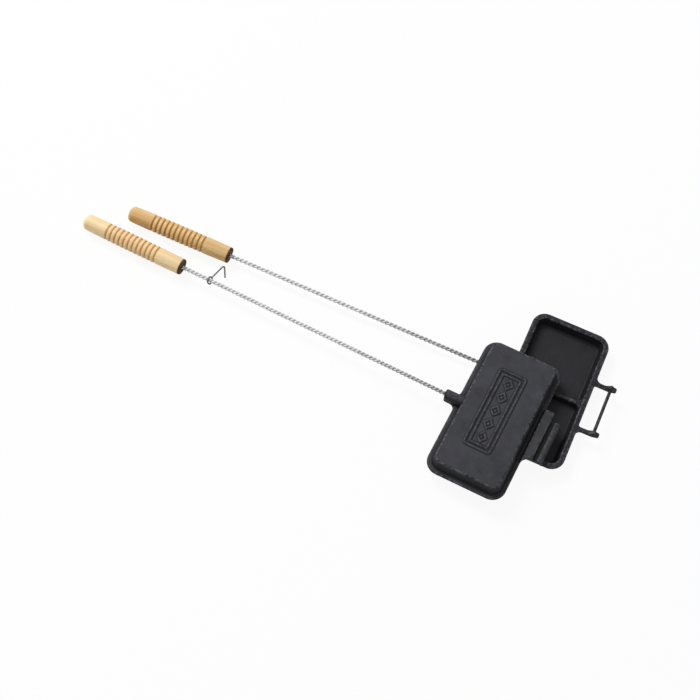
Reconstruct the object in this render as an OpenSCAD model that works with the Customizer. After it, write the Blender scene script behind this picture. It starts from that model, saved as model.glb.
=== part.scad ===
// Double pie iron, opened and laid down. The far half lies on its back with the cells facing up.
// The near half lies face down on the far half's rim with the end of its handle on the table.
// Origin: middle of the far pan's flat back. X runs along the rods toward the hinge, Z is up.

/* [Pans] */
// Width of one pan along the rod direction, over the flange
pan_w = 114; // [108:1:124]
// Length of one pan across the rods, over the flange
pan_l = 222; // [212:1:240]
// Height of one pan from its back to its rim
half_h = 20; // [19.5:0.25:23]
// Corner radius of the flange
corner_r = 20; // [18:0.5:24]
// Thickness of the flange
flange_t = 4.5; // [4:0.25:6]
// Rounding of the flange edges
flange_round = 1.7; // [0.5:0.1:1.9]
// Distance the flange stands out from the panel wall
flange_step = 7; // [6:0.25:8]
// Inward slope of the panel wall over its height
panel_run = 2.5; // [1.5:0.25:3]
// Rounding of the back edge
back_round = 2; // [1:0.25:3]
// Fillet between panel wall and flange
panel_fillet = 1.8; // [1:0.2:2.6]

/* [Cells] */
// Width of the flat rim round the cells
rim_w = 7.5; // [7:0.25:8.5]
// Depth of the cells below the rim
cell_depth = 14; // [12:0.5:15]
// Slope of the cell walls over their depth
cell_run = 4.5; // [3.5:0.25:5]
// Fillet between cell wall and cell floor
cell_fillet = 4; // [2:0.25:4.5]
// Corner radius of the cells beside the divider
cell_inner_r = 9; // [8.5:0.25:11]
// Half width of the divider taken up to rim height
divider_half = 1.5; // [1:0.25:3]
// Depth of the divider's crest below the rim
divider_low = 3; // [2:0.25:5]

/* [Rod bosses] */
// Length of the boss outside the flange
boss_len = 18; // [14:0.5:26]
// Width of the boss
boss_w = 15; // [13:0.5:16]
// Height of the boss from the parting plane
boss_h = 16.5; // [15.5:0.25:17.5]
// Gap from boss, arms and flange tops to the parting plane
parting_gap = 0.3; // [0.1:0.1:0.6]
// Distance of the rod axis from the parting plane
rod_drop = 9; // [8:0.1:9.5]
// Plan fillet between boss and flange
boss_fillet = 8; // [4:0.5:10]
// Rounding of the boss end in plan
boss_round = 4; // [2:0.5:5.5]
// Depth of the rod's bore in the boss
boss_bore_len = 16; // [10:0.5:18]

/* [Rods] */
// Diameter of one rod wire
wire_d = 3; // [2.4:0.1:3.2]
// Length of one full turn of the far rod's twist
far_lead = 13.2; // [11.5:0.1:16]
// Length of one full turn of the near rod's twist
near_lead = 11.9; // [11.5:0.1:16]
// Gap between the two wires of a rod
strand_gap = 0.06; // [0.04:0.01:0.12]
// Diametral clearance of the rod in its bores
rod_clear = 0.14; // [0.1:0.02:0.4]
// Visible length of a rod between boss and handle
rod_len = 410; // [330:5:460]
// Outward bend of the near rod that keeps closed handles apart
near_splay = 1.5; // [1.2:0.1:2]

/* [Handles] */
// Length of a handle
handle_len = 158; // [130:1:180]
// Largest diameter of a handle
handle_d = 25; // [24:0.25:25]
// Diameter at the front of a handle
handle_front_d = 23; // [21:0.25:23.5]
// Diameter at the end of a handle
handle_end_d = 22.5; // [20:0.25:23]
// Length of the domed end
dome_len = 7; // [4:0.5:9]
// Depth of the rod's bore in a handle
handle_bore_len = 52; // [30:1:70]
// Number of ring grooves
groove_count = 12; // [6:1:14]
// Distance of the first ring groove from the handle's front
groove_start = 41; // [30:1:48]
// Distance from one ring groove to the next
groove_gap = 7.1; // [6:0.1:8]
// Radius of the ring grooves
groove_r = 1.6; // [1.3:0.1:2]
// Depth of the ring grooves
groove_depth = 1.2; // [0.5:0.1:1.3]
// Rounding of a handle's front edge
handle_round = 1.5; // [1:0.1:2.5]

/* [Hinge] */
// Distance of the hinge axis from the flange edge
pin_reach = 22.2; // [21.5:0.1:24]
// Height of the hinge axis over the far rim
pin_rise = 1; // [0.9:0.1:1.3]
// Diameter of the hinge pin
pin_d = 4.6; // [4:0.1:4.6]
// Diametral clearance of the pin in the arms
pin_clear = 0.1; // [0.06:0.02:0.18]
// Distance between the inner faces of the arms
arm_gap = 69; // [68:0.5:76]
// Thickness of an arm
arm_t = 5.8; // [4.6:0.1:7]
// Height of an arm beside the flange
arm_h = 5.4; // [5:0.1:6.5]
// Radius of the eye round the pin
eye_r = 4.3; // [4.1:0.1:4.8]
// Distance the arm tip runs past the pin axis
arm_nose = 8.3; // [7:0.1:10]
// Outer plan fillet of an arm
arm_fillet = 7; // [4:0.5:9]
// Inner plan fillet of an arm
arm_inner_fillet = 2.5; // [1:0.25:3.5]
// Diameter of the pin's formed heads
pin_head_d = 6.4; // [5.8:0.2:7.4]
// Thickness of the pin's formed heads
pin_head_t = 1.2; // [0.8:0.1:2]

/* [Knuckle] */
// Length of the hooked knuckle along the hinge axis
knuckle_l = 65; // [58:0.5:66]
// Inside radius of the knuckle
knuckle_in_r = 2.75; // [2.6:0.05:2.8]
// Wall of the knuckle
knuckle_wall = 2.5; // [2.2:0.1:2.6]
// Height of the tongue's upper face over the parting plane
tongue_top = 2.5; // [2:0.1:3.2]
// Drop of the tongue's lower face below the parting plane
tongue_low = 1.5; // [1:0.1:1.8]
// Height of the web between tongue and flange
web_t = 4; // [3:0.25:4.4]
// Plan fillet between web and flange
web_fillet = 11; // [8:0.5:12]
// Overlap of the shoulder block on the flange
shoulder_in = 1; // [0.5:0.25:2]
// Width of the shoulder block
shoulder_w = 14; // [12:0.5:14]
// Distance of the shoulder's free end from its middle
shoulder_end = 44; // [38:0.5:46]
// Height of the shoulder block
shoulder_h = 8.5; // [7:0.25:10]
// Rounding of the shoulder's edges
shoulder_round = 2; // [1:0.25:3]

/* [Plaque] */
// Width of the raised frame on the near back
plaque_w = 40; // [36:1:48]
// Length of the raised frame on the near back
plaque_l = 126; // [110:1:140]
// Width of one raised line
line_w = 2.2; // [1.4:0.1:2.6]
// Height of the raised lines
line_h = 1.2; // [0.6:0.1:1.4]
// Distance of the inner frame from the outer one
frame_step = 6; // [5:0.25:7]
// Corner radius of the outer frame
frame_r = 4; // [3:0.5:6]
// Number of lozenges inside the frames
lozenge_count = 5; // [3:1:6]
// Width of one lozenge
lozenge_w = 15; // [10:0.5:16]
// Length of one lozenge
lozenge_l = 18; // [12:0.5:18]
// Shift of the frames from the middle of the pan along the rods
plaque_shift_x = -3; // [-5:0.5:5]
// Shift of the frames from the middle of the pan across the rods
plaque_shift_y = 3; // [-5:0.5:5]

/* [Lying position] */
// Shift of the near pan from the far pan along the rods
near_shift_x = -51.4; // [-54:0.2:-49]
// Shift of the near pan from the far pan across the rods
near_shift_y = -77; // [-80:0.5:-74]
// Turn of the near half as seen from above
near_yaw = -3.4; // [-4:0.1:-3]
// Gap between the two halves where they touch
rest_gap = 0.3; // [0.2:0.1:0.6]
// Gap between the far handle and the table
table_gap = 0.05; // [0.02:0.01:0.2]

/* [Handle clip] */
// Diameter of the clip's wire
clip_d = 2.2; // [1.6:0.1:2.2]
// Radius of the clip's ring round the rod, to the wire's middle
clip_ring_r = 5; // [4.9:0.1:5.6]
// Lean of the ring on the rod
clip_lean = 26; // [10:1:28]
// Distance of the clip from the handle's front
clip_back = 43.5; // [30:0.5:120]
// Reach of the clip's arm toward the far rod
clip_reach = 29; // [24:0.5:30]
// Drop of the clip's hooked end
clip_drop = 15; // [10:0.5:15]

/* [Hidden] */
$fn = 48;
half_w = pan_w / 2;
boss_end = -half_w - boss_len;
pin_x = half_w + pin_reach;
pin_z = half_h + pin_rise;
knuckle_r = knuckle_in_r + knuckle_wall;
strand_r = wire_d / 2 + strand_gap / 2;
bore_r = wire_d + strand_gap / 2 + rod_clear / 2;
shoulder_x = half_w - shoulder_in;
panel_r = corner_r - flange_step;
panel_top = half_h - flange_t;
mouth_r = corner_r - rim_w;
floor_z = half_h - cell_depth;
clip_s = rod_len - clip_back;
// how far the parts of one casting run into each other, and a boss over the flange
weld = 3;
boss_in = 12;
// place of a handle's widest section, as a share of its length
belly = 0.55;
// share of a handle's end radius that stays flat on the dome
dome_flat = 0.45;
// corners of a wire's section, and rings of points for each turn
wire_sides = 6;
wire_rings = 7;
// height of the boss fillets' foot over the panel's top
fillet_foot = 0.2;
// how much slimmer and lower than the eye an arm's tip is
nose_slim = 0.6;
nose_drop = 0.3;
// play of the pin's heads beside the arms in all, and their bevel
head_play = 0.4;
head_bevel = 0.8;
// angles round the knuckle's axis at which its open mouth starts, bends and ends
mouth = [-50, -113, -176];
// how far the tongue reaches into the knuckle's wall
tongue_bite = 0.2;
// width of a lozenge's border over its two sides, and radius of its dot, as shares of a line
lozenge_border = 2.4;
lozenge_dot = 0.7;
// share of the front rounding at which a handle's corner is cut
round_cut = 0.3;
// rings of a handle's swelling body and of its dome
body_rings = 12;
dome_rings = 6;
// route of the clip's arm, from the ring to the hooked end
clip_path = [[0, clip_ring_r, 0], [5, clip_reach - 4.5, 2.2], [6.1, clip_reach - 1.4, 2.1],
             [7, clip_reach - 0.3, 0.5], [7.8, clip_reach - 0.6, -1.6],
             [12, clip_reach - 7.3, -clip_drop]];
// rise of the far rod that sets its handle on the table
far_rise = asin((handle_d / 2 + table_gap - half_h + rod_drop) / (rod_len + belly * handle_len));
// far end of the near handle measured from its pan, and the pitch that sets it on the table
end_r = handle_end_d / 2;
end_s = rod_len + handle_len - dome_len;
end_x = half_w + near_shift_x + cos(near_yaw) * (-half_w - boss_len - cos(near_splay) * end_s);
end_z = rest_gap + rod_drop + sin(near_splay) * end_s;
end_dist = sqrt(end_x * end_x + end_z * end_z);
near_pitch = atan(end_z / -end_x) + asin((half_h - end_r) / end_dist);

// length from a corner to the tangent point of a rounding, for a wall that leans by run over rise
function tangent(r, run, rise) = r * (norm([run, rise]) - run) / rise;

// place of the near half: parting plane down, leaning from the far rim to the table
module near_place() {
    translate([-half_w, 0, half_h])
        rotate([0, -near_pitch, 0])
            translate([half_w + near_shift_x, near_shift_y, rest_gap])
                rotate([0, 0, near_yaw])
                    children();
}

// turns a pan that faces up into one that faces down on its parting plane
module face_down() {
    translate([0, 0, half_h]) rotate([180, 0, 0]) children();
}

// rod axis of each half, with X pointing back into the boss
module far_rod() {
    translate([boss_end, 0, half_h - rod_drop]) rotate([0, far_rise, 0]) children();
}

module near_rod() {
    near_place() translate([boss_end, 0, rod_drop]) rotate([0, near_splay, 0]) children();
}

// round-cornered plate with a drawn edge section; the section ends r inside the outline at x = -r
module slab(w, l, r, z0, z1) {
    for (sx = [-1, 1])
        for (sy = [-1, 1])
            translate([sx * (w / 2 - r), sy * (l / 2 - r), 0])
                rotate_extrude() intersection() {
                    translate([r, 0]) children();
                    translate([0, z0 - 1]) square([r + z1 - z0, z1 - z0 + 2]);
                }
    rotate([90, 0, 0]) linear_extrude(l - 2 * r, center = true) {
        translate([w / 2, 0]) children();
        mirror([1, 0]) translate([w / 2, 0]) children();
        translate([-w / 2 + r, z0]) square([w - 2 * r, z1 - z0]);
    }
    rotate([90, 0, 90]) linear_extrude(w - 2 * r, center = true) {
        translate([l / 2, 0]) children();
        mirror([1, 0]) translate([l / 2, 0]) children();
        translate([-l / 2 + r, z0]) square([l - 2 * r, z1 - z0]);
    }
}

module flange_edge() {
    translate([-corner_r, panel_top]) square([corner_r - flange_round, flange_t]);
    translate([-corner_r, panel_top + flange_round]) square([corner_r, flange_t - 2 * flange_round]);
    translate([-flange_round, half_h - flange_round]) circle(flange_round);
    translate([-flange_round, panel_top + flange_round]) circle(flange_round);
}

module panel_edge() {
    wall = norm([panel_run, panel_top]);
    q = tangent(back_round, panel_run, panel_top);
    ux = panel_run / wall;
    uz = panel_top / wall;
    polygon([[-panel_r, 0], [-panel_run - q, 0], [-panel_run + q * ux, q * uz],
             [0, panel_top], [0, panel_top + 1], [-panel_r, panel_top + 1]]);
    translate([-panel_run - q, back_round]) circle(back_round);
    p = tangent(panel_fillet, panel_run, panel_top);
    difference() {
        polygon([[-0.5, panel_top + 0.5], [p, panel_top + 0.5], [p, panel_top - panel_fillet],
                 [-p * ux, panel_top - p * uz], [-p * ux - 0.5, panel_top - p * uz]]);
        translate([p, panel_top - panel_fillet]) circle(panel_fillet);
    }
}

module cell_edge(r) {
    wall = norm([cell_run, cell_depth]);
    q = tangent(cell_fillet, cell_run, cell_depth);
    over = cell_run / cell_depth;
    difference() {
        polygon([[-r, floor_z], [-cell_run, floor_z], [over, half_h + 1], [-r, half_h + 1]]);
        difference() {
            polygon([[-cell_run - q, floor_z - 1], [-cell_run + 1, floor_z - 1],
                     [-cell_run + 1 + q * cell_run / wall, floor_z + q * cell_depth / wall],
                     [-cell_run + q * cell_run / wall, floor_z + q * cell_depth / wall],
                     [-cell_run - q, floor_z + cell_fillet]]);
            translate([-cell_run - q, floor_z + cell_fillet]) circle(cell_fillet);
        }
    }
}

// one cell, with wide corners at the pan's end and tighter ones at the divider
module cell_hollow() {
    w = pan_w - 2 * rim_w;
    l = pan_l / 2 - rim_w - divider_half;
    mid = divider_half + l / 2;
    translate([0, mid, 0]) slab(w, l, mouth_r, floor_z, half_h + 1) cell_edge(mouth_r);
    translate([0, mid - l / 4, 0]) slab(w, l / 2, cell_inner_r, floor_z, half_h + 1) cell_edge(cell_inner_r);
}

// space over the divider's crest, and the rounding of that crest
module divider_relief() {
    w = pan_w / 2 - rim_w;
    over = cell_run / cell_depth;
    k = norm([1, over]);
    reach = divider_half + cell_inner_r + 2;
    crest_z = half_h - divider_low;
    rotate([90, 0, 0]) linear_extrude(2 * reach, center = true)
        polygon([[-w + over * divider_low, crest_z], [w - over * divider_low, crest_z],
                 [w + over, half_h + 1], [-w - over, half_h + 1]]);
    crest_r = (divider_half + over * divider_low) / (k - over);
    rotate([90, 0, 90]) linear_extrude(2 * (w - cell_inner_r), center = true) difference() {
        translate([-crest_r / k, crest_z - crest_r + crest_r * over / k])
            square([2 * crest_r / k, crest_r * (1 - over / k) + 0.5]);
        translate([0, crest_z - crest_r]) circle(crest_r);
    }
}

// quarter fillet in plan: the corner at the origin is filled toward +X +Y
module corner_fill(r) {
    difference() {
        translate([-1, -1]) square([r + 1, r + 1]);
        translate([r, r]) circle(r);
    }
}

module boss_plan() {
    translate([boss_end + boss_round, -boss_w / 2]) square([boss_len + boss_in - boss_round, boss_w]);
    translate([boss_end, boss_round - boss_w / 2]) square([boss_len, boss_w - 2 * boss_round]);
    for (s = [-1, 1])
        translate([boss_end + boss_round, s * (boss_w / 2 - boss_round)]) circle(boss_round);
}

module boss() {
    mid = boss_h - boss_w / 2;
    intersection() {
        rotate([90, 0, 90]) translate([0, 0, boss_end]) linear_extrude(boss_len + boss_in) {
            translate([-boss_w / 2, half_h - mid]) square([boss_w, mid - parting_gap]);
            translate([0, half_h - mid]) circle(boss_w / 2);
        }
        linear_extrude(half_h) boss_plan();
    }
    for (s = [0, 1])
        mirror([0, s, 0])
            translate([-half_w, boss_w / 2, panel_top + fillet_foot])
                linear_extrude(flange_t - parting_gap - fillet_foot)
                    mirror([1, 0]) corner_fill(boss_fillet);
}

// pan casting facing up, without its hinge parts and rod bore
module pan_cast() {
    difference() {
        union() {
            slab(pan_w, pan_l, corner_r, panel_top, half_h) flange_edge();
            slab(pan_w - 2 * flange_step, pan_l - 2 * flange_step, panel_r, 0, panel_top + 1) panel_edge();
            boss();
        }
        cell_hollow();
        mirror([0, 1, 0]) cell_hollow();
        divider_relief();
    }
}

// side view of an arm: level up to the other half's shoulder, then rising to the eye
module arm_side() {
    top = half_h - parting_gap;
    nose_r = eye_r - nose_slim;
    nose_z = pin_z - nose_drop;
    nose_x = pin_x + arm_nose - nose_r;
    rise_x = shoulder_x + shoulder_w + parting_gap;
    lean = atan((pin_z - top) / (pin_x - rise_x)) + asin(eye_r / norm([pin_x - rise_x, pin_z - top]));
    translate([half_w - 2 * weld, top - arm_h]) square([pin_reach + 2 * weld - eye_r / 2, arm_h]);
    polygon([[rise_x, top - 1], [rise_x, top], [pin_x - eye_r * sin(lean), pin_z + eye_r * cos(lean)],
             [pin_x, top - 1]]);
    translate([pin_x, pin_z]) circle(eye_r);
    translate([nose_x, nose_z]) circle(nose_r);
    polygon([[pin_x - eye_r, top - arm_h], [pin_x - eye_r / 2, top - arm_h], [nose_x, nose_z - nose_r],
             [nose_x, nose_z + nose_r], [pin_x, pin_z + eye_r], [pin_x - eye_r, pin_z]]);
}

module arm_plan() {
    y0 = arm_gap / 2;
    translate([half_w - 2 * weld, y0]) square([pin_reach + arm_nose + 3 * weld, arm_t]);
    translate([half_w, y0 + arm_t]) corner_fill(arm_fillet);
    translate([half_w, y0]) mirror([0, 1]) corner_fill(arm_inner_fillet);
}

module far_pan() {
    color([0.13, 0.13, 0.14]) difference() {
        union() {
            pan_cast();
            for (s = [0, 1])
                mirror([0, s, 0]) intersection() {
                    linear_extrude(pin_z + 2 * eye_r) arm_plan();
                    rotate([90, 0, 0]) linear_extrude(pan_l, center = true) arm_side();
                }
        }
        cell_hollow();
        mirror([0, 1, 0]) cell_hollow();
        translate([pin_x, 0, pin_z]) rotate([90, 0, 0])
            cylinder(h = arm_gap + 2 * arm_t + 4, d = pin_d + pin_clear, center = true);
        far_rod() translate([-1, 0, 0]) rotate([0, 90, 0]) cylinder(h = boss_bore_len + 1, r = bore_r);
    }
}

// section of the hooked knuckle and its tongue, parting plane at z = 0 and the pan's back up
module hook_side() {
    difference() {
        translate([pin_x, pin_rise]) circle(knuckle_r);
        translate([pin_x, pin_rise]) circle(knuckle_in_r);
        // mouth that lets the pin in from below
        translate([pin_x, pin_rise])
            polygon([[0, 0], for (a = mouth) 3 * knuckle_r * [cos(a), sin(a)]]);
    }
    difference() {
        tip_x = pin_x - knuckle_in_r + tongue_bite;
        polygon([[half_w - weld, 0], [half_w + weld / 2, 0], [half_w + weld + tongue_low, -tongue_low],
                 [pin_x - knuckle_r + 1, -tongue_low], [tip_x, pin_rise - 1], [tip_x, tongue_top],
                 [half_w - weld, tongue_top]]);
        translate([pin_x, pin_rise]) circle(knuckle_in_r);
    }
}

module shoulder_side() {
    r = shoulder_round;
    translate([shoulder_x, parting_gap]) square([shoulder_w, shoulder_h - r - parting_gap]);
    translate([shoulder_x + r, parting_gap]) square([shoulder_w - 2 * r, shoulder_h - parting_gap]);
    for (x = [r, shoulder_w - r])
        translate([shoulder_x + x, shoulder_h - r]) circle(r);
}

// outline of the shoulder: free end toward +Y, run into the web's fillet toward -Y
module shoulder_plan() {
    r = shoulder_round;
    translate([shoulder_x, -knuckle_l / 2]) square([shoulder_w, knuckle_l / 2 + shoulder_end - r]);
    translate([shoulder_x + r, 0]) square([shoulder_w - 2 * r, shoulder_end]);
    for (x = [r, shoulder_w - r])
        translate([shoulder_x + x, shoulder_end - r]) circle(r);
    translate([half_w, -knuckle_l / 2]) mirror([0, 1]) corner_fill(web_fillet);
}

module hook() {
    rotate([90, 0, 0]) linear_extrude(knuckle_l, center = true) hook_side();
    intersection() {
        rotate([90, 0, 0]) linear_extrude(2 * pan_w, center = true) shoulder_side();
        linear_extrude(2 * shoulder_h) shoulder_plan();
    }
    for (s = [0, 1])
        mirror([0, s, 0]) translate([half_w, knuckle_l / 2, parting_gap])
            linear_extrude(web_t - parting_gap) corner_fill(web_fillet);
}

module round_rect(w, l, r) {
    square([w - 2 * r, l], center = true);
    square([w, l - 2 * r], center = true);
    for (sx = [-1, 1])
        for (sy = [-1, 1])
            translate([sx * (w / 2 - r), sy * (l / 2 - r)]) circle(r);
}

module frame_line(w, l, r) {
    difference() {
        round_rect(w, l, r);
        round_rect(w - 2 * line_w, l - 2 * line_w, r - line_w / 2);
    }
}

module lozenge(w, l) {
    polygon([[w / 2, 0], [0, l / 2], [-w / 2, 0], [0, -l / 2]]);
}

// plain ornament on the near back: two frames and a row of lozenges
module ornament() {
    inner_l = plaque_l - 2 * frame_step;
    pitch = (inner_l - 2 * line_w) / lozenge_count;
    border = lozenge_border * line_w;
    frame_line(plaque_w, plaque_l, frame_r);
    frame_line(plaque_w - 2 * frame_step, inner_l, frame_r / 2);
    for (i = [0 : lozenge_count - 1])
        translate([0, (i - (lozenge_count - 1) / 2) * pitch]) {
            difference() {
                lozenge(lozenge_w, lozenge_l);
                lozenge(lozenge_w - border, lozenge_l - border * lozenge_l / lozenge_w);
            }
            circle(line_w * lozenge_dot);
        }
}

module near_pan() {
    color([0.15, 0.15, 0.16]) near_place() difference() {
        union() {
            face_down() pan_cast();
            hook();
            translate([plaque_shift_x, plaque_shift_y, half_h - line_h])
                linear_extrude(2 * line_h) ornament();
        }
        face_down() {
            cell_hollow();
            mirror([0, 1, 0]) cell_hollow();
        }
        translate([boss_end, 0, rod_drop]) rotate([0, near_splay, 0])
            translate([-1, 0, 0]) rotate([0, 90, 0]) cylinder(h = boss_bore_len + 1, r = bore_r);
    }
}

// one wire of a twisted rod, along -X from inside the boss to inside the handle
module twisted_wire(turn0, lead) {
    x0 = boss_bore_len - 1;
    run = x0 + rod_len + handle_bore_len - 1;
    n = floor(run / lead * wire_rings);
    lean = atan(2 * PI * strand_r / lead);
    pts = [for (i = [0 : n]) let (a = turn0 + 360 * run / lead * i / n) for (k = [0 : wire_sides - 1])
        let (b = 360 * (k + 0.5) / wire_sides, u = wire_d / 2 * cos(b), v = wire_d / 2 * sin(b))
        [x0 - run * i / n + v * sin(lean),
         (strand_r + u) * cos(a) - v * cos(lean) * sin(a),
         (strand_r + u) * sin(a) + v * cos(lean) * cos(a)]];
    w = wire_sides;
    sides = [for (i = [0 : n - 1]) for (k = [0 : w - 1]) let (a = w * i + k, b = w * i + (k + 1) % w)
        each [[a, a + w, b + w], [a, b + w, b]]];
    ends = [for (k = [1 : w - 2]) each [[0, k, k + 1], [w * n, w * n + k + 1, w * n + k]]];
    polyhedron(points = pts, faces = concat(sides, ends), convexity = 10);
}

function handle_r(s) = let (t = s / handle_len)
    t < belly ? handle_d / 2 - (handle_d - handle_front_d) / 2 * pow((belly - t) / belly, 2)
              : handle_d / 2 - (handle_d - handle_end_d) / 2 * pow((t - belly) / (1 - belly), 2);

// turned handle from its front face at x = 0 toward -X
module handle() {
    body = handle_len - dome_len;
    grooves = min(groove_count, floor((body - groove_start) / groove_gap));
    edge = handle_round;
    cut = edge * round_cut;
    shape = concat(
        [[0, 0], [handle_r(0) - edge, 0], [handle_r(0) - cut, cut]],
        [for (i = [0 : body_rings]) let (s = edge + (body - edge) * i / body_rings) [handle_r(s), s]],
        [for (i = [1 : dome_rings - 1]) let (a = 90 * i / dome_rings)
            [handle_r(body) * (dome_flat + (1 - dome_flat) * cos(a)), body + dome_len * sin(a)]],
        [[handle_r(body) * dome_flat, handle_len], [0, handle_len]]);
    color([0.82, 0.66, 0.45]) rotate([0, -90, 0]) difference() {
        rotate_extrude() difference() {
            polygon(shape);
            for (i = [0 : grooves - 1])
                let (s = groove_start + groove_gap * i)
                    translate([handle_r(s) + groove_r - groove_depth, s]) circle(groove_r);
        }
        translate([0, 0, -1]) cylinder(h = handle_bore_len + 1, r = bore_r);
    }
}

module hinge_pin() {
    run = arm_gap + 2 * arm_t + head_play;
    color([0.3, 0.3, 0.31]) translate([pin_x, 0, pin_z]) rotate([90, 0, 0]) {
        cylinder(h = run + 1, d = pin_d, center = true);
        for (s = [0, 1])
            mirror([0, 0, s]) translate([0, 0, run / 2]) {
                cylinder(h = pin_head_t / 2, d = pin_head_d);
                translate([0, 0, pin_head_t / 2])
                    cylinder(h = pin_head_t / 2, d1 = pin_head_d, d2 = pin_head_d - 2 * head_bevel);
            }
    }
}

// round wire through a list of points
module wire_run(p, r) {
    for (i = [0 : len(p) - 2])
        let (d = p[i + 1] - p[i])
            translate(p[i]) rotate([0, acos(d[2] / norm(d)), atan2(d[1], d[0])])
                cylinder(h = norm(d), r = r, $fn = 12);
    for (q = p)
        translate(q) sphere(r, $fn = 12);
}

module handle_clip() {
    color([0.45, 0.45, 0.46]) near_rod() translate([-clip_s, 0, 0]) {
        rotate([0, 90 - clip_lean, 0]) rotate_extrude($fn = 32)
            translate([clip_ring_r, 0]) circle(clip_d / 2, $fn = 12);
        wire_run(clip_path, clip_d / 2);
    }
}

far_pan();
color([0.7, 0.7, 0.72]) far_rod() twisted_wire(0, far_lead);  // far_rod_wire_1
color([0.66, 0.66, 0.68]) far_rod() twisted_wire(180, far_lead);  // far_rod_wire_2
far_rod() translate([-rod_len, 0, 0]) handle();  // far_handle
hinge_pin();
near_pan();
color([0.7, 0.7, 0.72]) near_rod() twisted_wire(0, near_lead);  // near_rod_wire_1
color([0.66, 0.66, 0.68]) near_rod() twisted_wire(180, near_lead);  // near_rod_wire_2
near_rod() translate([-rod_len, 0, 0]) handle();  // near_handle
handle_clip();
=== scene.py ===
from math import asin, atan, cos, degrees, exp, hypot, pi, radians, sin

import bmesh
import bpy
import numpy as np
from mathutils import Matrix, Vector
from mathutils.bvhtree import BVHTree


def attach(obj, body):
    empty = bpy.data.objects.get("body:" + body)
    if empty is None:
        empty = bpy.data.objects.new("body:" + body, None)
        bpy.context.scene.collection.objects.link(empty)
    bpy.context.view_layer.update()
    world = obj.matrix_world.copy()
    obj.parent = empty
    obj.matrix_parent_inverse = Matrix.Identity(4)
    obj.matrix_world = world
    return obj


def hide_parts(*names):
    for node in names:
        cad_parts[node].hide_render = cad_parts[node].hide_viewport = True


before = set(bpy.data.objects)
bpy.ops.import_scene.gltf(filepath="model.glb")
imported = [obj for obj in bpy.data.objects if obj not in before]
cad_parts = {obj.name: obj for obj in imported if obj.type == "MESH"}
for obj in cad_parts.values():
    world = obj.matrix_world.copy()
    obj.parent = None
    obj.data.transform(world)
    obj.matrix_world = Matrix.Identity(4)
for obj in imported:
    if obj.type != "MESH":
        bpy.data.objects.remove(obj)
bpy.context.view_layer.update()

mm = 0.001


# shader wiring

class Wire:
    # a socket in a node tree; arithmetic on it adds Math nodes
    def __init__(self, kit, socket):
        self.kit, self.socket = kit, socket

    def math(self, operation, *values):
        return self.kit.node("ShaderNodeMath", {"operation": operation}, *values)["Value"]

    def __add__(self, other):
        return self.math("ADD", self, other)

    def __radd__(self, other):
        return self.math("ADD", other, self)

    def __mul__(self, other):
        return self.math("MULTIPLY", self, other)

    def __rmul__(self, other):
        return self.math("MULTIPLY", other, self)

    def clamp(self):
        return self.math("MINIMUM", self.math("MAXIMUM", self, 0.0), 1.0)


class Finish:
    # the node tree of one material, or of the world
    def __init__(self, owner):
        self.owner = owner
        owner.use_nodes = True
        self.tree = owner.node_tree
        self.tree.nodes.clear()

    def node(self, kind, settings=None, *values, **named):
        # values fill the open sockets in their order, named values fill them by name
        made = self.tree.nodes.new(kind)
        for key, value in (settings or {}).items():
            setattr(made, key, value)
        free = [socket for socket in made.inputs if socket.enabled]
        byName = {socket.name: socket for socket in free}
        pairs = list(zip(free, values))
        pairs += [(byName[key.replace("_", " ")], value) for key, value in named.items()]
        for socket, value in pairs:
            if isinstance(value, Wire):
                self.tree.links.new(value.socket, socket)
            else:
                socket.default_value = value
        return {out.name: Wire(self, out) for out in made.outputs if out.enabled}

    def place(self, turn=(0, 0, 0), shift=(0, 0, 0)):
        coords = self.node("ShaderNodeTexCoord")["Object"]
        return self.node("ShaderNodeMapping", {}, Vector=coords, Location=shift, Rotation=turn)["Vector"]

    def noise(self, where, scale, detail=3.0, rough=0.5, warp=0.0):
        return self.node("ShaderNodeTexNoise", {}, Vector=where, Scale=scale, Detail=detail,
                         Roughness=rough, Distortion=warp)["Fac"]

    def range(self, value, low, high):
        return self.node("ShaderNodeMapRange", {}, Value=value, From_Min=low, From_Max=high)["Result"]

    def mix(self, fac, a, b):
        a, b = (colour if isinstance(colour, Wire) else (*colour, 1.0) for colour in (a, b))
        return self.node("ShaderNodeMix", {"data_type": "RGBA"}, fac, a, b)["Result"]

    def attribute(self, name):
        return self.node("ShaderNodeAttribute", {"attribute_name": name})["Fac"]

    def bump(self, height, distance, strength=1.0):
        return self.node("ShaderNodeBump", {}, Height=height, Distance=distance, Strength=strength)["Normal"]

    def done(self, **sockets):
        shader = self.node("ShaderNodeBsdfPrincipled", {}, **sockets)["BSDF"]
        self.node("ShaderNodeOutputMaterial", {}, Surface=shader)
        return self.owner


# places of the two halves and their rods, in millimetres and degrees

layout = {
    "halfWidth": 57.0, "halfHeight": 20.0, "bossLength": 18.0, "rodDrop": 9.0,
    "nearShift": (-51.4, -77.0), "nearYaw": -3.4, "restGap": 0.3, "tableGap": 0.05,
    "nearSplay": 1.5, "rodLength": 410.0, "bossBore": 15.0, "handleBore": 51.0,
}

turnedHandle = {
    "length": 158.0, "front": 23.0, "middle": 25.0, "end": 22.5, "belly": 0.55, "round": 1.5,
    "dome": 7.0, "domeFlat": 0.45, "domeRings": 12, "bore": 6.4, "boreFloor": 4.0, "faceRing": 6.5,
    "grooves": 12, "grooveStart": 41.0, "grooveGap": 7.1, "grooveWidth": 1.3, "grooveDepth": 1.25,
    "ringedFade": 4.0, "darkBand": 3.2, "darkFade": 0.6, "around": 96, "step": 0.35,
}


def move(x=0.0, y=0.0, z=0.0):
    return Matrix.Translation(Vector((x, y, z)) * mm)


def turn(angle, axis):
    return Matrix.Rotation(radians(angle), 4, axis)


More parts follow.
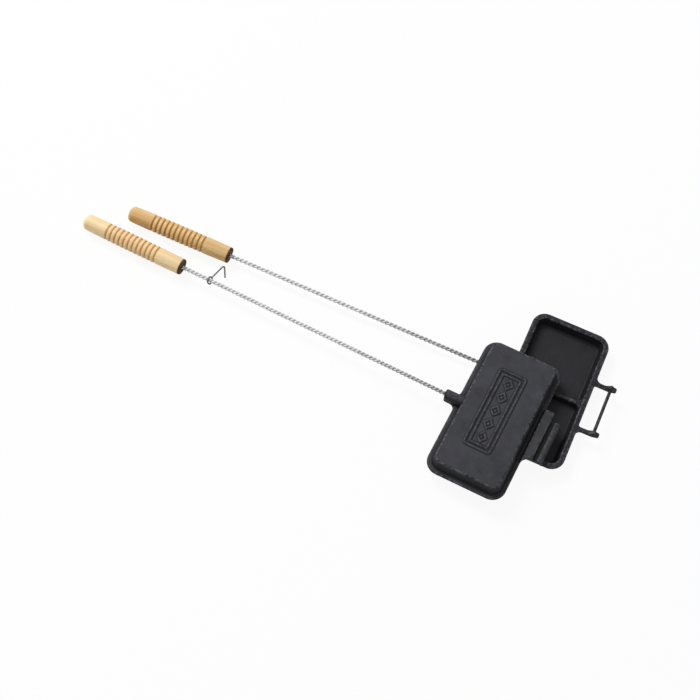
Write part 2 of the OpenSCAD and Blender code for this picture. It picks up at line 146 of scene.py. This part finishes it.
def farRise():
    # slope that lets the far handle's belly lie on the table
    reach = layout["rodLength"] + turnedHandle["belly"] * turnedHandle["length"]
    climb = turnedHandle["middle"] / 2 + layout["tableGap"] - layout["halfHeight"] + layout["rodDrop"]
    return degrees(asin(climb / reach))


def nearPitch():
    # slope of the near half from the far rim down to its handle's end on the table
    reach = layout["rodLength"] + turnedHandle["length"] - turnedHandle["dome"]
    slope = radians(layout["nearSplay"])
    boss = layout["halfWidth"] + layout["bossLength"]
    along = cos(radians(layout["nearYaw"])) * (boss + cos(slope) * reach)
    x = layout["halfWidth"] + layout["nearShift"][0] - along
    z = layout["restGap"] + layout["rodDrop"] + sin(slope) * reach
    return degrees(atan(z / -x) + asin((layout["halfHeight"] - turnedHandle["end"] / 2) / hypot(x, z)))


nearPlace = (move(-layout["halfWidth"], 0, layout["halfHeight"]) @ turn(-nearPitch(), "Y")
             @ move(layout["halfWidth"] + layout["nearShift"][0], layout["nearShift"][1], layout["restGap"])
             @ turn(layout["nearYaw"], "Z"))
bossEnd = -layout["halfWidth"] - layout["bossLength"]
farRod = move(bossEnd, 0, layout["halfHeight"] - layout["rodDrop"]) @ turn(farRise(), "Y")
nearRod = nearPlace @ move(bossEnd, 0, layout["rodDrop"]) @ turn(layout["nearSplay"], "Y")


# mesh helpers

def addObject(name, data):
    made = bpy.data.objects.new(name, data)
    bpy.context.scene.collection.objects.link(made)
    return made


def plainMesh(source, name):
    # the evaluated shape of an object as a mesh of its own
    graph = bpy.context.evaluated_depsgraph_get()
    mesh = bpy.data.meshes.new_from_object(source.evaluated_get(graph), depsgraph=graph)
    mesh.name = name
    return mesh


def finishPiece(made, body, material, nodes):
    made.data.materials.clear()
    made.data.materials.append(material)
    made.data.polygons.foreach_set("use_smooth", [True] * len(made.data.polygons))
    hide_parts(*nodes)
    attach(made, body)
    return made


def storeShares(mesh, shares):
    # one number for each vertex under each label, which the materials read
    for label, values in shares.items():
        layer = mesh.attributes.new(label, "FLOAT", "POINT")
        layer.data.foreach_set("value", np.array(values, dtype=np.float32))


def meshArrays(mesh):
    points = np.empty(len(mesh.vertices) * 3)
    mesh.vertices.foreach_get("co", points)
    normals = np.empty(len(mesh.vertices) * 3)
    mesh.vertices.foreach_get("normal", normals)
    edges = np.empty(len(mesh.edges) * 2, dtype=int)
    mesh.edges.foreach_get("vertices", edges)
    return points.reshape(-1, 3), normals.reshape(-1, 3), edges.reshape(-1, 2)


def spread(values, a, b, rounds):
    # averages a value over neighbouring vertices
    count = np.bincount(np.concatenate((a, b)), minlength=len(values)).clip(1)
    for _ in range(rounds):
        sums = np.bincount(a, values[b], len(values)) + np.bincount(b, values[a], len(values))
        values = (values + sums / count) / 2
    return values


def shelterOf(mesh, points, normals, wearAndShade):
    # share of the directions above each vertex in which the piece itself is near; it sets the painted shade
    # of the iron
    tree = BVHTree.FromPolygons([v.co for v in mesh.vertices], [list(f.vertices) for f in mesh.polygons])
    steps = np.arange(wearAndShade["rays"]) + 0.5
    tilt, spin = np.arccos(1 - 2 * steps / wearAndShade["rays"]), pi * (1 + 5 ** 0.5) * steps
    ways = np.stack((np.cos(spin) * np.sin(tilt), np.sin(spin) * np.sin(tilt), np.cos(tilt)), 1)
    starts = points + normals * wearAndShade["rayLift"] * mm
    hit, total = np.zeros(len(points)), np.zeros(len(points))
    for way in ways:
        facing = normals @ way
        total += facing.clip(0)
        ahead = Vector(way)
        for k in np.nonzero(facing > wearAndShade["rayGraze"])[0]:
            if tree.ray_cast(Vector(starts[k]), ahead, wearAndShade["rayReach"] * mm)[0] is not None:
                hit[k] += facing[k]
    return hit / total.clip(1e-6)


def markWearAndShade(mesh, wearAndShade):
    # stores how convex and narrow (in millimetres), sheltered and steep the casting is at each vertex, for
    # its wear and its painted shade
    points, normals, edges = meshArrays(mesh)
    a, b = edges[:, 0], edges[:, 1]
    fine = [spread(points[:, i], a, b, wearAndShade["fineRounds"]) for i in range(3)]
    wide = [spread(points[:, i], a, b, wearAndShade["wideRounds"]) for i in range(3)]
    storeShares(mesh, {
        "convex": ((points - np.stack(fine, 1)) * normals).sum(1) / mm,
        "narrow": ((points - np.stack(wide, 1)) * normals).sum(1) / mm,
        "shelter": spread(shelterOf(mesh, points, normals, wearAndShade), a, b, wearAndShade["shelterRounds"]),
        "steep": 1 - np.abs(normals[:, 2]),
    })


# cast iron pans

castIron = {
    # colours of the level skin, the bare high spots, the painted shade of the steep walls (also used for
    # sooty patches), and the painted shade of sheltered corners and hollows
    "dark": (0.030, 0.0305, 0.036), "light": (0.050, 0.0505, 0.060), "rubbed": (0.15, 0.152, 0.162),
    "wall": (0.006, 0.006, 0.0075), "corner": (0.004, 0.004, 0.005),
    # noises, in waves per metre, and the dullness and height that they give the skin
    "cloudScale": 26.0, "blotchScale": 95.0, "pitScale": 210.0, "fleckScale": 250.0, "grainScale": 520.0,
    "rough": 0.46, "blotchRough": 0.16, "pitRough": 0.10, "gloss": 0.13, "grainHeight": 0.00020,
    # where each kind of wear and painted shade starts and where it is full, and its share of the colour
    "clouding": (0.36, 0.66), "steepFace": (0.08, 0.45), "slimEdge": (0.55, 1.10), "edgeFrom": 0.15,
    "sheltered": (0.38, 0.66), "shelterShadeShare": 0.95, "hollow": (-0.015, -0.070), "hollowShadeShare": 0.8,
    "sootyPatch": (0.50, 0.43), "sootyShare": 0.9, "barePatch": (0.50, 0.58),
    "rubbedEdge": (0.03, 0.11), "rubbedPatch": (0.46, 0.60),
    "dullBlotch": (0.30, 0.70), "dullPit": (0.50, 0.75),
    # the new skin: its cells and its wander in metres, its easing, and the share of its faces that is kept
    "merge": 2e-6, "voxel": 0.00075, "wander": 0.00018, "wanderSize": 0.022,
    "ease": 0.5, "easeRounds": 2, "keep": 0.5,
    # how the wear and the painted shade are found: rounds of averaging, and rays, in millimetres, that look
    # for near walls
    "fineRounds": 4, "wideRounds": 40, "shelterRounds": 2,
    "rays": 26, "rayLift": 0.2, "rayReach": 18.0, "rayGraze": 0.12,
}
# amounts for each half; the far half gets more painted shade, on its walls and all over
farIron = {
    "shift": (0, 0, 0), "seasoningAndShade": 0.60, "steep": 0.85, "edgeFull": 0.50, "slim": 0.75, "fleck": 0.42,
    "rub": 0.40,
}
nearIron = {
    "shift": (0.31, 0.12, 0.07), "seasoningAndShade": 0.0, "steep": 0.60, "edgeFull": 0.60, "slim": 0.0, "fleck": 0.36,
    "rub": 0.26,
}


def ironFinish(name, look):
    iron = castIron
    kit = Finish(bpy.data.materials.new(name))
    where = kit.place(shift=look["shift"])
    cloud = kit.noise(where, iron["cloudScale"], 4.0, 0.55)
    blotch = kit.noise(where, iron["blotchScale"], 5.0, 0.62, 0.3)
    fleck = kit.noise(where, iron["fleckScale"], 3.0, 0.6)
    grain = kit.noise(where, iron["grainScale"], 4.0, 0.62)
    pits = kit.noise(where, iron["pitScale"], 3.0, 0.6)
    convex, narrow, steep, shelter = map(kit.attribute, ("convex", "narrow", "steep", "shelter"))
    edge = kit.range(narrow, iron["edgeFrom"], look["edgeFull"])
    patch = fleck * 0.65 + blotch * 0.35
    tone = kit.mix(kit.range(cloud * 0.55 + blotch * 0.45, *iron["clouding"]), iron["dark"], iron["light"])
    # the far half darkened all over, partly as its seasoning and partly as painted shade in its cells under
    # the near half
    tone = kit.mix(look["seasoningAndShade"], tone, iron["wall"])
    # painted shade: steep walls darkened towards near black, more on the far half than on the near half
    tone = kit.mix(kit.range(steep, *iron["steepFace"]) * look["steep"], tone, iron["wall"])
    tone = kit.mix(kit.range(narrow, *iron["slimEdge"]) * look["slim"], tone, iron["wall"])
    # painted shade: darker where the casting itself hides much of the sky above it, as in cells and corners
    tone = kit.mix(kit.range(shelter, *iron["sheltered"]) * iron["shelterShadeShare"], tone, iron["corner"])
    # painted shade: concave creases and hollows darkened
    tone = kit.mix(kit.range(convex, *iron["hollow"]) * iron["hollowShadeShare"], tone, iron["corner"])
    tone = kit.mix(edge * kit.range(patch, *iron["sootyPatch"]) * iron["sootyShare"], tone, iron["wall"])
    tone = kit.mix(edge * kit.range(patch, *iron["barePatch"]) * look["fleck"], tone, iron["rubbed"])
    rub = kit.range(convex, *iron["rubbedEdge"]) * kit.range(grain * 0.5 + pits * 0.5, *iron["rubbedPatch"])
    tone = kit.mix(rub.clamp() * look["rub"], tone, iron["rubbed"])
    rough = (iron["rough"] + kit.range(blotch, *iron["dullBlotch"]) * iron["blotchRough"]
             + kit.range(pits, *iron["dullPit"]) * iron["pitRough"])
    return kit.done(Base_Color=tone, Metallic=0.0, Roughness=rough, Specular_IOR_Level=iron["gloss"],
                    Normal=kit.bump(grain * 0.5 + pits * 0.8 + blotch * 0.6, iron["grainHeight"]))


def softCasting(node, name, place):
    # a CAD casting with every edge eased and a slightly wandering skin, worked in its own upright place
    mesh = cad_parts[node].data.copy()
    mesh.transform(place.inverted())
    work = bmesh.new()
    work.from_mesh(mesh)
    bmesh.ops.remove_doubles(work, verts=work.verts, dist=castIron["merge"])
    work.to_mesh(mesh)
    work.free()
    made = addObject(name + "_work", mesh)
    melt = made.modifiers.new("melt", "REMESH")
    melt.mode, melt.voxel_size, melt.adaptivity = "VOXEL", castIron["voxel"], 0.0
    ease = made.modifiers.new("ease", "SMOOTH")
    ease.factor, ease.iterations = castIron["ease"], castIron["easeRounds"]
    clouds = bpy.data.textures.new(name + "_clouds", "CLOUDS")
    clouds.noise_scale = castIron["wanderSize"]
    skin = made.modifiers.new("skin", "DISPLACE")
    skin.texture, skin.strength, skin.mid_level = clouds, castIron["wander"], 0.5
    skin.texture_coords = "LOCAL"
    thin = made.modifiers.new("thin", "DECIMATE")
    thin.ratio = castIron["keep"]
    result = plainMesh(made, name)
    bpy.data.objects.remove(made)
    markWearAndShade(result, castIron)
    result.transform(place)
    return addObject(name, result)


farPan = softCasting("far_pan", "far_pan_casting", Matrix())
finishPiece(farPan, "far_half", ironFinish("cast_iron_far", farIron), ["far_pan"])
nearPan = softCasting("near_pan", "near_pan_casting", nearPlace)
finishPiece(nearPan, "near_half", ironFinish("cast_iron_near", nearIron), ["near_pan"])
print("pans:", len(farPan.data.polygons), len(nearPan.data.polygons), "faces")


# twisted rods, whose soot thins out from the pans towards the handles

twistedRod = {
    "wire": 3.0, "gap": 0.06, "farLead": 13.2, "nearLead": 11.9, "perTurn": 20, "sides": 12,
    "bright": (0.68, 0.68, 0.685), "dull": (0.54, 0.54, 0.55), "sooty": (0.22, 0.216, 0.212),
    "streakScale": 130.0, "streaks": (0.35, 0.68), "fineScale": 1400.0, "fineHeight": 0.00003,
    "soot": (-0.27, -0.06), "sootWander": 0.06, "sootShare": 0.8,
    "rough": 0.55, "streakRough": 0.14, "metal": 0.24,
}


def group(name, inputs):
    tree = bpy.data.node_groups.new(name, "GeometryNodeTree")
    tree.interface.new_socket("Geometry", in_out="INPUT", socket_type="NodeSocketGeometry")
    found = {}
    for label, kind in inputs.items():
        found[label] = tree.interface.new_socket(label, in_out="INPUT", socket_type=kind).identifier
    tree.interface.new_socket("Geometry", in_out="OUTPUT", socket_type="NodeSocketGeometry")
    return tree, found


def addNode(tree, kind, inputs=None):
    made = tree.nodes.new(kind)
    for key, value in (inputs or {}).items():
        if isinstance(value, bpy.types.NodeSocket):
            tree.links.new(value, made.inputs[key])
        else:
            made.inputs[key].default_value = value
    return made


def closeTree(tree, geometry, material):
    real = addNode(tree, "GeometryNodeRealizeInstances", {"Geometry": geometry})
    painted = addNode(tree, "GeometryNodeSetMaterial", {
        "Geometry": real.outputs["Geometry"], "Material": material})
    out = tree.nodes.new("NodeGroupOutput")
    tree.links.new(painted.outputs["Geometry"], out.inputs["Geometry"])


def runTree(name, tree, values):
    holder = addObject(name + "_work", bpy.data.meshes.new(name + "_work"))
    modifier = holder.modifiers.new("nodes", "NODES")
    modifier.node_group = tree
    for key, value in values.items():
        modifier[key] = value
    mesh = plainMesh(holder, name)
    bpy.data.objects.remove(holder)
    return mesh


def rodFinish(name):
    rod = twistedRod
    kit = Finish(bpy.data.materials.new(name))
    where = kit.place()
    streak = kit.noise(where, rod["streakScale"], 4.0, 0.6)
    fine = kit.noise(where, rod["fineScale"], 2.0, 0.5)
    along = kit.node("ShaderNodeSeparateXYZ", {}, Vector=where)["X"]
    tone = kit.mix(kit.range(streak, *rod["streaks"]), rod["bright"], rod["dull"])
    soot = kit.range(along + streak * rod["sootWander"], *rod["soot"])
    tone = kit.mix(soot * rod["sootShare"], tone, rod["sooty"])
    rough = rod["rough"] + streak * rod["streakRough"]
    return kit.done(Base_Color=tone, Metallic=rod["metal"], Roughness=rough,
                    Normal=kit.bump(fine, rod["fineHeight"], 0.6))


def rodTwist(material):
    # two wires wound about each other upwards from the origin
    tree, found = group("twisted_wires", {
        "Turns": "NodeSocketFloat", "Length": "NodeSocketFloat", "Strand Radius": "NodeSocketFloat",
        "Wire Radius": "NodeSocketFloat", "Points": "NodeSocketInt", "Sides": "NodeSocketInt"})
    given = tree.nodes.new("NodeGroupInput").outputs
    helix = addNode(tree, "GeometryNodeCurveSpiral", {
        "Resolution": given["Points"], "Rotations": given["Turns"], "Start Radius": given["Strand Radius"],
        "End Radius": given["Strand Radius"], "Height": given["Length"], "Reverse": False})
    ring = addNode(tree, "GeometryNodeCurvePrimitiveCircle", {
        "Resolution": given["Sides"], "Radius": given["Wire Radius"]})
    tube = addNode(tree, "GeometryNodeCurveToMesh", {
        "Curve": helix.outputs[0], "Profile Curve": ring.outputs[0], "Fill Caps": True})
    other = addNode(tree, "GeometryNodeTransform", {
        "Geometry": tube.outputs["Mesh"], "Rotation": (0, 0, pi)})
    both = addNode(tree, "GeometryNodeJoinGeometry")
    tree.links.new(tube.outputs["Mesh"], both.inputs[0])
    tree.links.new(other.outputs["Geometry"], both.inputs[0])
    closeTree(tree, both.outputs["Geometry"], material)
    return tree, found


rodMaterial = rodFinish("rod_wire_bright")
rodTree, rodIn = rodTwist(rodMaterial)


def makeRod(name, place, body, lead, nodes):
    length = layout["bossBore"] + layout["rodLength"] + layout["handleBore"]
    mesh = runTree(name, rodTree, {
        rodIn["Turns"]: length / lead, rodIn["Length"]: length * mm,
        rodIn["Strand Radius"]: (twistedRod["wire"] + twistedRod["gap"]) / 2 * mm,
        rodIn["Wire Radius"]: twistedRod["wire"] / 2 * mm,
        rodIn["Points"]: twistedRod["perTurn"], rodIn["Sides"]: twistedRod["sides"]})
    mesh.transform(place @ move(layout["bossBore"]) @ turn(-90, "Y"))
    return finishPiece(addObject(name, mesh), body, rodMaterial, nodes)


farRodPiece = makeRod("far_rod", farRod, "far_half", twistedRod["farLead"],
                      ["far_rod_wire_1", "far_rod_wire_2"])
nearRodPiece = makeRod("near_rod", nearRod, "near_half", twistedRod["nearLead"],
                       ["near_rod_wire_1", "near_rod_wire_2"])
print("rods:", len(farRodPiece.data.polygons), len(nearRodPiece.data.polygons), "faces")


# turned handles

def handleRadius(s):
    cut = turnedHandle
    t = s / cut["length"]
    if t < cut["belly"]:
        small, share = cut["front"], (cut["belly"] - t) / cut["belly"]
    else:
        small, share = cut["end"], (t - cut["belly"]) / (1 - cut["belly"])
    return cut["middle"] / 2 - (cut["middle"] - small) / 2 * share ** 2


def grooveAt(s):
    cut = turnedHandle
    places = [cut["grooveStart"] + cut["grooveGap"] * i for i in range(cut["grooves"])]
    return sum(exp(-((s - place) / cut["grooveWidth"]) ** 2) for place in places)


def ringedZone(s):
    # 1 among the ring grooves, fading out just past the first and the last
    cut = turnedHandle
    fade = cut["ringedFade"]
    last = cut["grooveStart"] + cut["grooveGap"] * (cut["grooves"] - 1)
    return max(0.0, min(1.0, (s - cut["grooveStart"] + fade) / fade, (last + fade - s) / fade))


def darkEnd(s):
    # 1 in the dark band at the front, fading out at its edge
    fade = turnedHandle["darkFade"]
    return max(0.0, min(1.0, (turnedHandle["darkBand"] + fade - s) / (2 * fade)))


def handleRings():
    # distance from the front, radius, groove share, dark end share and ringed zone of each ring
    cut = turnedHandle
    face = (cut["bore"] / 2, cut["faceRing"], cut["front"] / 2 - cut["round"])
    rings = [(0.0, radius, 0, 1, 0) for radius in face]
    for a in (pi / 8, pi / 4, 3 * pi / 8):
        s = cut["round"] * (1 - cos(a))
        rings.append((s, handleRadius(cut["round"]) - cut["round"] * (1 - sin(a)), 0, 1, 0))
    body = cut["length"] - cut["dome"]
    count = int((body - cut["round"]) / cut["step"])
    for i in range(count + 1):
        s = cut["round"] + (body - cut["round"]) * i / count
        groove = grooveAt(s)
        rings.append((s, handleRadius(s) - cut["grooveDepth"] * groove, groove, darkEnd(s), ringedZone(s)))
    for i in range(1, cut["domeRings"] + 1):
        a = pi / 2 * i / cut["domeRings"]
        radius = handleRadius(body) * (cut["domeFlat"] + (1 - cut["domeFlat"]) * cos(a))
        rings.append((body + cut["dome"] * sin(a), radius, 0, 0, 0))
    rings.append((cut["length"], handleRadius(body) * cut["domeFlat"] / 2, 0, 0, 0))
    return rings


def makeHandle(name, place, body, node, material):
    around = turnedHandle["around"]
    rings = handleRings()
    points, faces = [], []
    shares = {"groove": [], "darkEnd": [], "ringed": []}

    def addRing(s, radius, *values):
        for k in range(around):
            a = 2 * pi * k / around
            points.append((-s * mm, radius * cos(a) * mm, radius * sin(a) * mm))
            for label, value in zip(shares, values):
                shares[label].append(value)

    def joinRings(first, second):
        for k in range(around):
            n = (k + 1) % around
            faces.append((first + k, first + n, second + n, second + k))

    for ring in rings:
        addRing(*ring)
    for i in range(len(rings) - 1):
        joinRings(i * around, (i + 1) * around)
    last = (len(rings) - 1) * around
    faces.append(tuple(last + k for k in range(around)))
    bore = len(points)
    addRing(turnedHandle["boreFloor"], turnedHandle["bore"] / 2, 0, 1, 0)   # a little way in
    joinRings(bore, 0)
    faces.append(tuple(bore + k for k in range(around)))
    mesh = bpy.data.meshes.new(name)
    mesh.from_pydata(points, [], faces)
    storeShares(mesh, shares)
    work = bmesh.new()
    work.from_mesh(mesh)
    bmesh.ops.recalc_face_normals(work, faces=work.faces)
    work.to_mesh(mesh)
    work.free()
    mesh.transform(place @ move(-layout["rodLength"]))
    return finishPiece(addObject(name, mesh), body, material, [node])


turnedWood = {
    # noises, in waves per metre across the grain, and the dullness and height that they give
    "stretch": (0.07, 1.0, 1.0), "figureScale": 70.0, "grainScale": 230.0, "poreScale": 950.0,
    "rough": 0.58, "grainRough": 0.16, "endRough": 0.30, "grainHeight": 0.00010,
    # where each colour starts and where it is full, and its share
    "figure": (0.38, 0.66), "lines": (0.50, 0.74), "lineShare": 0.45,
    "pores": (0.60, 0.80), "poreShare": 0.35,
    "beadTop": (0.30, 0.02), "beadFigure": (0.40, 0.62), "beadShare": 0.8,
    "grooveFigure": (0.25, 0.60), "endFigure": (0.46, 0.66),
}
paleWood = {
    "base": (0.84, 0.65, 0.375), "warm": (0.73, 0.51, 0.245), "line": (0.46, 0.27, 0.10),
    "ringed": (0.78, 0.46, 0.19), "beadHighlight": (0.93, 0.68, 0.38), "groove": (0.34, 0.19, 0.065),
    "end": (0.032, 0.017, 0.004), "endWorn": (0.14, 0.080, 0.028), "shift": (0.3, 0.1, 0.6),
}
amberWood = {
    "base": (0.72, 0.49, 0.23), "warm": (0.57, 0.345, 0.12), "line": (0.34, 0.18, 0.06),
    "ringed": (0.60, 0.33, 0.09), "beadHighlight": (0.86, 0.58, 0.28), "groove": (0.27, 0.14, 0.036),
    "end": (0.032, 0.016, 0.004), "endWorn": (0.13, 0.070, 0.024), "shift": (0.02, 0.4, 0.1),
}


def woodFinish(name, look, place):
    wood = turnedWood
    kit = Finish(bpy.data.materials.new(name))
    back = place.inverted().to_euler()   # the mapping turns the pattern back onto the handle's own axis
    where = kit.place(turn=tuple(back), shift=look["shift"])
    stretched = kit.node("ShaderNodeMapping", {}, Vector=where, Scale=wood["stretch"])["Vector"]
    figure = kit.noise(stretched, wood["figureScale"], 4.0, 0.55, 0.7)
    grain = kit.noise(stretched, wood["grainScale"], 5.0, 0.6, 0.4)
    pores = kit.noise(stretched, wood["poreScale"], 3.0, 0.6)
    groove, ringed, dark = map(kit.attribute, ("groove", "ringed", "darkEnd"))
    tone = kit.mix(kit.range(figure, *wood["figure"]), look["base"], look["warm"])
    tone = kit.mix(ringed * (0.30 + figure * 0.7), tone, look["ringed"])
    tone = kit.mix(kit.range(grain, *wood["lines"]) * wood["lineShare"], tone, look["line"])
    tone = kit.mix(kit.range(pores, *wood["pores"]) * wood["poreShare"], tone, look["line"])
    # painted highlight: the bead crowns between the grooves made lighter
    beadHighlight = ringed * kit.range(groove, *wood["beadTop"])
    tone = kit.mix(beadHighlight * kit.range(figure, *wood["beadFigure"]) * wood["beadShare"], tone, look["beadHighlight"])
    # painted shade: the ring grooves darkened
    grooveShade = groove * kit.range(figure, *wood["grooveFigure"]) * 0.55 + groove * 0.45
    tone = kit.mix(grooveShade.clamp(), tone, look["groove"])
    worn = kit.mix(kit.range(figure, *wood["endFigure"]), look["end"], look["endWorn"])
    tone = kit.mix(dark, tone, worn)
    rough = wood["rough"] + grain * wood["grainRough"] + dark * wood["endRough"]
    return kit.done(Base_Color=tone, Roughness=rough,
                    Normal=kit.bump(grain * 0.6 + pores * 0.5, wood["grainHeight"], 0.9))


farHandle = makeHandle("far_handle_turned", farRod, "far_half", "far_handle",
                       woodFinish("wood_amber", amberWood, farRod))
nearHandle = makeHandle("near_handle_turned", nearRod, "near_half", "near_handle",
                        woodFinish("wood_pale", paleWood, nearRod))
print("handles:", len(farHandle.data.polygons), len(nearHandle.data.polygons), "faces")


# handle clip and hinge pin

clip = {
    "wire": 2.2, "ring": 5.0, "lean": 26.0, "fromHandle": 43.5,
    "around": 48, "armSteps": 12, "bevelSteps": 6,
    "path": ((5.0, 24.5, 2.2), (6.1, 27.6, 2.1), (7.0, 28.7, 0.5), (7.8, 28.4, -1.6), (12.0, 21.7, -15.0)),
}
steelSkin = {
    "patchScale": 220.0, "patches": (0.35, 0.68), "patchRough": 0.2,
    "fineScale": 1800.0, "fineHeight": 0.00005,
}
clipSteel = {"bright": (0.19, 0.19, 0.195), "dull": (0.055, 0.055, 0.06), "rough": 0.42}
pinSteel = {"bright": (0.050, 0.050, 0.054), "dull": (0.012, 0.012, 0.013), "rough": 0.50}


def steelFinish(name, look):
    kit = Finish(bpy.data.materials.new(name))
    where = kit.place()
    patch = kit.noise(where, steelSkin["patchScale"], 4.0, 0.6)
    fine = kit.noise(where, steelSkin["fineScale"], 2.0, 0.5)
    tone = kit.mix(kit.range(patch, *steelSkin["patches"]), look["bright"], look["dull"])
    rough = look["rough"] + patch * steelSkin["patchRough"]
    return kit.done(Base_Color=tone, Metallic=1.0, Roughness=rough,
                    Normal=kit.bump(fine, steelSkin["fineHeight"], 0.6))


def addSpline(curve, points, kind):
    spline = curve.splines.new(kind)
    spline.points.add(len(points) - 1)
    for point, place in zip(spline.points, points):
        point.co = (*place, 1.0)
    return spline


def makeClip():
    # a ring about the near rod, and an arm that leaves it on the far rod's side
    lean = turn(90 - clip["lean"], "Y")
    ring = []
    for i in range(clip["around"]):
        a = pi / 2 + 2 * pi * i / clip["around"]
        ring.append(lean @ (Vector((clip["ring"] * cos(a), clip["ring"] * sin(a), 0)) * mm))
    curve = bpy.data.curves.new("clip_path", "CURVE")
    curve.dimensions = "3D"
    curve.bevel_depth = clip["wire"] / 2 * mm
    curve.bevel_resolution = clip["bevelSteps"]
    curve.use_fill_caps = True
    addSpline(curve, ring, "POLY").use_cyclic_u = True
    arm = addSpline(curve, [ring[0]] + [Vector(p) * mm for p in clip["path"]], "NURBS")
    arm.order_u, arm.use_endpoint_u, arm.resolution_u = 3, True, clip["armSteps"]
    holder = addObject("clip_work", curve)
    mesh = plainMesh(holder, "handle_clip_wire")
    bpy.data.objects.remove(holder)
    mesh.transform(nearRod @ move(-(layout["rodLength"] - clip["fromHandle"])))
    finishPiece(addObject("handle_clip_wire", mesh), "clip",
                steelFinish("clip_steel", clipSteel), ["handle_clip"])


makeClip()
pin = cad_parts["hinge_pin"]
pin.data.materials.clear()
pin.data.materials.append(steelFinish("pin_steel_dark", pinSteel))
print("clip and pin done")


# floor, light and camera

studio = {
    "floor": 60.0, "floorDepth": 0.0003, "floorTone": 0.8, "whiteShare": 0.92,
    "world": 0.42, "backdrop": 0.98, "aim": (-0.25, 0.0, 0.0),
    "key": 205.0, "keyPlace": (-3.2, 1.6, 3.6), "keySize": 2.2,
    "fill": 11.0, "fillPlace": (-1.8, -2.6, 1.9), "fillSize": 2.4,
}


def seenPlainly(kit):
    # 1 for what the camera or a glossy surface sees, 0 for the light that falls on the object
    path = kit.node("ShaderNodeLightPath")
    return (path["Is Camera Ray"] + path["Is Glossy Ray"]).clamp()


def makeFloor():
    size, z = studio["floor"], -studio["floorDepth"]
    mesh = bpy.data.meshes.new("floor")
    mesh.from_pydata([(-size, -size, z), (size, -size, z), (size, size, z), (-size, size, z)], [],
                     [(0, 1, 2, 3)])
    floor = addObject("floor", mesh)
    kit = Finish(bpy.data.materials.new("pale_floor"))
    plain = kit.node("ShaderNodeBsdfDiffuse", {}, Color=(*[studio["floorTone"]] * 3, 1))["BSDF"]
    white = kit.node("ShaderNodeEmission", {}, Color=(1, 1, 1, 1), Strength=1.0)["Emission"]
    share = seenPlainly(kit) * studio["whiteShare"]
    shader = kit.node("ShaderNodeMixShader", {}, share, plain, white)["Shader"]
    kit.node("ShaderNodeOutputMaterial", {}, Surface=shader)
    mesh.materials.append(kit.owner)


def makeWorld():
    # even soft light, which shows as a white backdrop behind the object and in its gloss
    world = bpy.data.worlds.new("studio")
    bpy.context.scene.world = world
    kit = Finish(world)
    strength = kit.node("ShaderNodeMapRange", {}, Value=seenPlainly(kit), To_Min=studio["world"],
                        To_Max=studio["backdrop"])["Result"]
    light = kit.node("ShaderNodeBackground", {}, Color=(1, 1, 1, 1), Strength=strength)["Background"]
    kit.node("ShaderNodeOutputWorld", {}, Surface=light)


def softLamp(name, place, size, power):
    lamp = bpy.data.lights.new(name, "AREA")
    lamp.shape, lamp.size, lamp.energy = "DISK", size, power
    made = addObject(name, lamp)
    made.location = place
    made.rotation_euler = (Vector(studio["aim"]) - Vector(place)).to_track_quat("-Z", "Y").to_euler()


makeFloor()
makeWorld()
softLamp("key", studio["keyPlace"], studio["keySize"], studio["key"])
softLamp("fill", studio["fillPlace"], studio["fillSize"], studio["fill"])

# where the photograph was taken from, in metres and degrees
viewpoint = {
    "eye": (-0.05221, -0.98008, 1.86084), "azimuth": -13.471, "height": 62.951, "roll": 11.251,
    "lens": 77.08, "sensor": 36.0, "clipStart": 0.05, "clipEnd": 200.0,
}


def makeCamera():
    az, el, roll = (radians(viewpoint[key]) for key in ("azimuth", "height", "roll"))
    ahead = Vector((sin(az) * cos(el), cos(az) * cos(el), -sin(el)))
    right = ahead.cross(Vector((0, 0, 1))).normalized()
    up = right.cross(ahead)
    side = right * cos(roll) + up * sin(roll)
    top = -right * sin(roll) + up * cos(roll)
    camera = addObject("camera", bpy.data.cameras.new("camera"))
    camera.data.lens, camera.data.sensor_width = viewpoint["lens"], viewpoint["sensor"]
    camera.data.clip_start, camera.data.clip_end = viewpoint["clipStart"], viewpoint["clipEnd"]
    matrix = Matrix((side, top, -ahead)).transposed().to_4x4()
    matrix.translation = Vector(viewpoint["eye"])
    camera.matrix_world = matrix
    bpy.context.scene.camera = camera


makeCamera()
bpy.context.scene.view_settings.view_transform = "Standard"
print("studio done")
